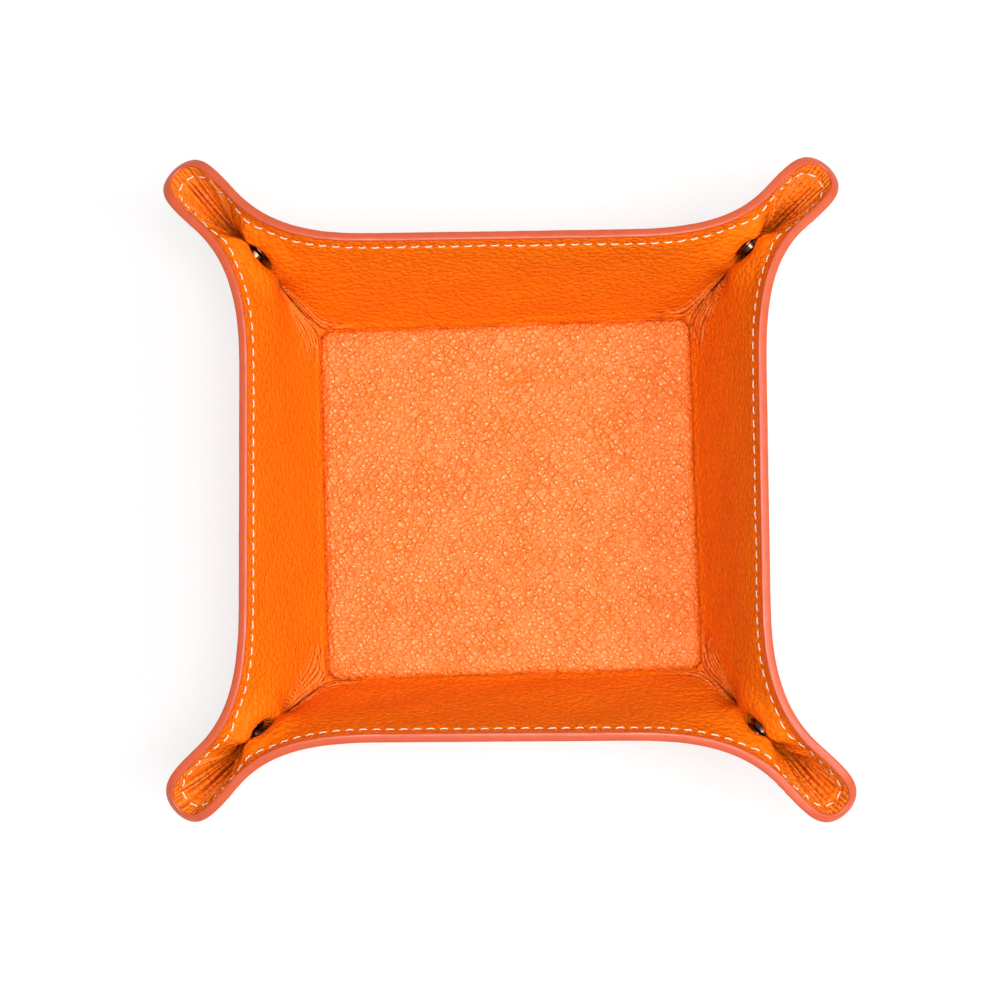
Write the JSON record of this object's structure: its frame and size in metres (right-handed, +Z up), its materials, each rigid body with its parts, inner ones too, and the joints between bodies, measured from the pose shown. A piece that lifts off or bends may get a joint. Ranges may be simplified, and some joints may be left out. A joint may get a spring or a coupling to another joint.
{
  "type": "leather valet tray",
  "caption": "Square catch-all tray of lined leather with a padded base and upright walls pinched together at the corners by metal snaps; unsnapped, it folds out flat.",
  "frame": {"origin": "middle of the base's underside, on the ground", "axes": "+Z up out of the tray; +X to the right side and +Y to the back, as the picture is seen from above"},
  "size_m": [0.1992, 0.1942, 0.0505],
  "materials": {
    "base_lining": "pebbled, padded over a board",
    "wall_lining": "pebbled",
    "outer_leather": "pebbled, with painted edges",
    "board": "raw",
    "snap_cap": "dark nickel plate",
    "snap_metal": "dark nickel plate"
  },
  "bodies": {
    "base": {"base_outer_leather": "outer_leather", "base_board": "board", "base_lining": "base_lining"},
    "wall_back": {"wall_lining_back": "wall_lining", "wall_outer_back": "outer_leather"},
    "flap_back_right": {"flap_lining_back_right": "wall_lining", "flap_outer_back_right": "outer_leather", "snap_cap_back_right": "snap_cap", "snap_socket_back_right": "snap_metal"},
    "keel_back_right": {"keel_lining_back_right": "wall_lining", "keel_outer_back_right": "outer_leather"},
    "flap_back_left": {"flap_lining_back_left": "wall_lining", "flap_outer_back_left": "outer_leather", "snap_stud_back_left": "snap_metal", "snap_post_back_left": "snap_cap"},
    "keel_back_left": {"keel_lining_back_left": "wall_lining", "keel_outer_back_left": "outer_leather"},
    "wall_right": {"wall_lining_right": "wall_lining", "wall_outer_right": "outer_leather"},
    "flap_right_front": {"flap_lining_right_front": "wall_lining", "flap_outer_right_front": "outer_leather", "snap_cap_right_front": "snap_cap", "snap_socket_right_front": "snap_metal"},
    "keel_right_front": {"keel_lining_right_front": "wall_lining", "keel_outer_right_front": "outer_leather"},
    "flap_right_back": {"flap_lining_right_back": "wall_lining", "flap_outer_right_back": "outer_leather", "snap_stud_right_back": "snap_metal", "snap_post_right_back": "snap_cap"},
    "keel_right_back": {"keel_lining_right_back": "wall_lining", "keel_outer_right_back": "outer_leather"},
    "wall_front": {"wall_lining_front": "wall_lining", "wall_outer_front": "outer_leather"},
    "flap_front_left": {"flap_lining_front_left": "wall_lining", "flap_outer_front_left": "outer_leather", "snap_cap_front_left": "snap_cap", "snap_socket_front_left": "snap_metal"},
    "keel_front_left": {"keel_lining_front_left": "wall_lining", "keel_outer_front_left": "outer_leather"},
    "flap_front_right": {"flap_lining_front_right": "wall_lining", "flap_outer_front_right": "outer_leather", "snap_stud_front_right": "snap_metal", "snap_post_front_right": "snap_cap"},
    "keel_front_right": {"keel_lining_front_right": "wall_lining", "keel_outer_front_right": "outer_leather"},
    "wall_left": {"wall_lining_left": "wall_lining", "wall_outer_left": "outer_leather"},
    "flap_left_back": {"flap_lining_left_back": "wall_lining", "flap_outer_left_back": "outer_leather", "snap_cap_left_back": "snap_cap", "snap_socket_left_back": "snap_metal"},
    "keel_left_back": {"keel_lining_left_back": "wall_lining", "keel_outer_left_back": "outer_leather"},
    "flap_left_front": {"flap_lining_left_front": "wall_lining", "flap_outer_left_front": "outer_leather", "snap_stud_left_front": "snap_metal", "snap_post_left_front": "snap_cap"},
    "keel_left_front": {"keel_lining_left_front": "wall_lining", "keel_outer_left_front": "outer_leather"}
  },
  "joints": [
    {"name": "wall_fold_back", "type": "hinge", "parent": "base", "child": "wall_back", "pos_m": [0, 0.05632, 0], "axis": [-1, 0, 0], "range_deg": [0, 64]},
    {"name": "flap_fold_back_right", "type": "hinge", "parent": "wall_back", "child": "flap_back_right", "pos_m": [0.05674, 0.05508, 0.0024], "axis": [-0.1744, -0.3837, -0.9069], "range_deg": [0, 41.88]},
    {"name": "keel_fold_back_right", "type": "hinge", "parent": "flap_back_right", "child": "keel_back_right", "pos_m": [0.05663, 0.0559, 0.00144], "axis": [0.546, 0.6171, 0.5667], "range_deg": [0, 77.61]},
    {"name": "flap_fold_back_left", "type": "hinge", "parent": "wall_back", "child": "flap_back_left", "pos_m": [-0.05674, 0.05508, 0.0024], "axis": [-0.1744, 0.3837, 0.9069], "range_deg": [0, 41.88]},
    {"name": "keel_fold_back_left", "type": "hinge", "parent": "flap_back_left", "child": "keel_back_left", "pos_m": [-0.05663, 0.0559, 0.00144], "axis": [0.546, -0.6171, -0.5667], "range_deg": [0, 77.61]},
    {"name": "wall_fold_right", "type": "hinge", "parent": "base", "child": "wall_right", "pos_m": [0.05882, 0, 0], "axis": [0, 1, 0], "range_deg": [0, 64]},
    {"name": "flap_fold_right_front", "type": "hinge", "parent": "wall_right", "child": "flap_right_front", "pos_m": [0.05758, -0.05424, 0.0024], "axis": [-0.3837, 0.1744, -0.9069], "range_deg": [0, 41.88]},
    {"name": "keel_fold_right_front", "type": "hinge", "parent": "flap_right_front", "child": "keel_right_front", "pos_m": [0.0584, -0.05413, 0.00144], "axis": [0.6171, -0.546, 0.5667], "range_deg": [0, 77.61]},
    {"name": "flap_fold_right_back", "type": "hinge", "parent": "wall_right", "child": "flap_right_back", "pos_m": [0.05758, 0.05424, 0.0024], "axis": [0.3837, 0.1744, 0.9069], "range_deg": [0, 41.88]},
    {"name": "keel_fold_right_back", "type": "hinge", "parent": "flap_right_back", "child": "keel_right_back", "pos_m": [0.0584, 0.05413, 0.00144], "axis": [-0.6171, -0.546, -0.5667], "range_deg": [0, 77.61]},
    {"name": "wall_fold_front", "type": "hinge", "parent": "base", "child": "wall_front", "pos_m": [0, -0.05632, 0], "axis": [1, 0, 0], "range_deg": [0, 64]},
    {"name": "flap_fold_front_left", "type": "hinge", "parent": "wall_front", "child": "flap_front_left", "pos_m": [-0.05674, -0.05508, 0.0024], "axis": [0.1744, 0.3837, -0.9069], "range_deg": [0, 41.88]},
    {"name": "keel_fold_front_left", "type": "hinge", "parent": "flap_front_left", "child": "keel_front_left", "pos_m": [-0.05663, -0.0559, 0.00144], "axis": [-0.546, -0.6171, 0.5667], "range_deg": [0, 77.61]},
    {"name": "flap_fold_front_right", "type": "hinge", "parent": "wall_front", "child": "flap_front_right", "pos_m": [0.05674, -0.05508, 0.0024], "axis": [0.1744, -0.3837, 0.9069], "range_deg": [0, 41.88]},
    {"name": "keel_fold_front_right", "type": "hinge", "parent": "flap_front_right", "child": "keel_front_right", "pos_m": [0.05663, -0.0559, 0.00144], "axis": [-0.546, 0.6171, -0.5667], "range_deg": [0, 77.61]},
    {"name": "wall_fold_left", "type": "hinge", "parent": "base", "child": "wall_left", "pos_m": [-0.05882, 0, 0], "axis": [0, -1, 0], "range_deg": [0, 64]},
    {"name": "flap_fold_left_back", "type": "hinge", "parent": "wall_left", "child": "flap_left_back", "pos_m": [-0.05758, 0.05424, 0.0024], "axis": [0.3837, -0.1744, -0.9069], "range_deg": [0, 41.88]},
    {"name": "keel_fold_left_back", "type": "hinge", "parent": "flap_left_back", "child": "keel_left_back", "pos_m": [-0.0584, 0.05413, 0.00144], "axis": [-0.6171, 0.546, 0.5667], "range_deg": [0, 77.61]},
    {"name": "flap_fold_left_front", "type": "hinge", "parent": "wall_left", "child": "flap_left_front", "pos_m": [-0.05758, -0.05424, 0.0024], "axis": [-0.3837, -0.1744, 0.9069], "range_deg": [0, 41.88]},
    {"name": "keel_fold_left_front", "type": "hinge", "parent": "flap_left_front", "child": "keel_left_front", "pos_m": [-0.0584, -0.05413, 0.00144], "axis": [0.6171, 0.546, -0.5667], "range_deg": [0, 77.61]}
  ],
  "couplings": [
    {"joint": "flap_fold_back_right", "follows": "wall_fold_back", "ratio": 0.65434},
    {"joint": "keel_fold_back_right", "follows": "wall_fold_back", "ratio": 1.2126},
    {"joint": "flap_fold_back_left", "follows": "wall_fold_back", "ratio": 0.65434},
    {"joint": "keel_fold_back_left", "follows": "wall_fold_back", "ratio": 1.2126},
    {"joint": "wall_fold_right", "follows": "wall_fold_back", "ratio": 1},
    {"joint": "flap_fold_right_front", "follows": "wall_fold_back", "ratio": 0.65434},
    {"joint": "keel_fold_right_front", "follows": "wall_fold_back", "ratio": 1.2126},
    {"joint": "flap_fold_right_back", "follows": "wall_fold_back", "ratio": 0.65434},
    {"joint": "keel_fold_right_back", "follows": "wall_fold_back", "ratio": 1.2126},
    {"joint": "wall_fold_front", "follows": "wall_fold_back", "ratio": 1},
    {"joint": "flap_fold_front_left", "follows": "wall_fold_back", "ratio": 0.65434},
    {"joint": "keel_fold_front_left", "follows": "wall_fold_back", "ratio": 1.2126},
    {"joint": "flap_fold_front_right", "follows": "wall_fold_back", "ratio": 0.65434},
    {"joint": "keel_fold_front_right", "follows": "wall_fold_back", "ratio": 1.2126},
    {"joint": "wall_fold_left", "follows": "wall_fold_back", "ratio": 1},
    {"joint": "flap_fold_left_back", "follows": "wall_fold_back", "ratio": 0.65434},
    {"joint": "keel_fold_left_back", "follows": "wall_fold_back", "ratio": 1.2126},
    {"joint": "flap_fold_left_front", "follows": "wall_fold_back", "ratio": 0.65434},
    {"joint": "keel_fold_left_front", "follows": "wall_fold_back", "ratio": 1.2126}
  ]
}
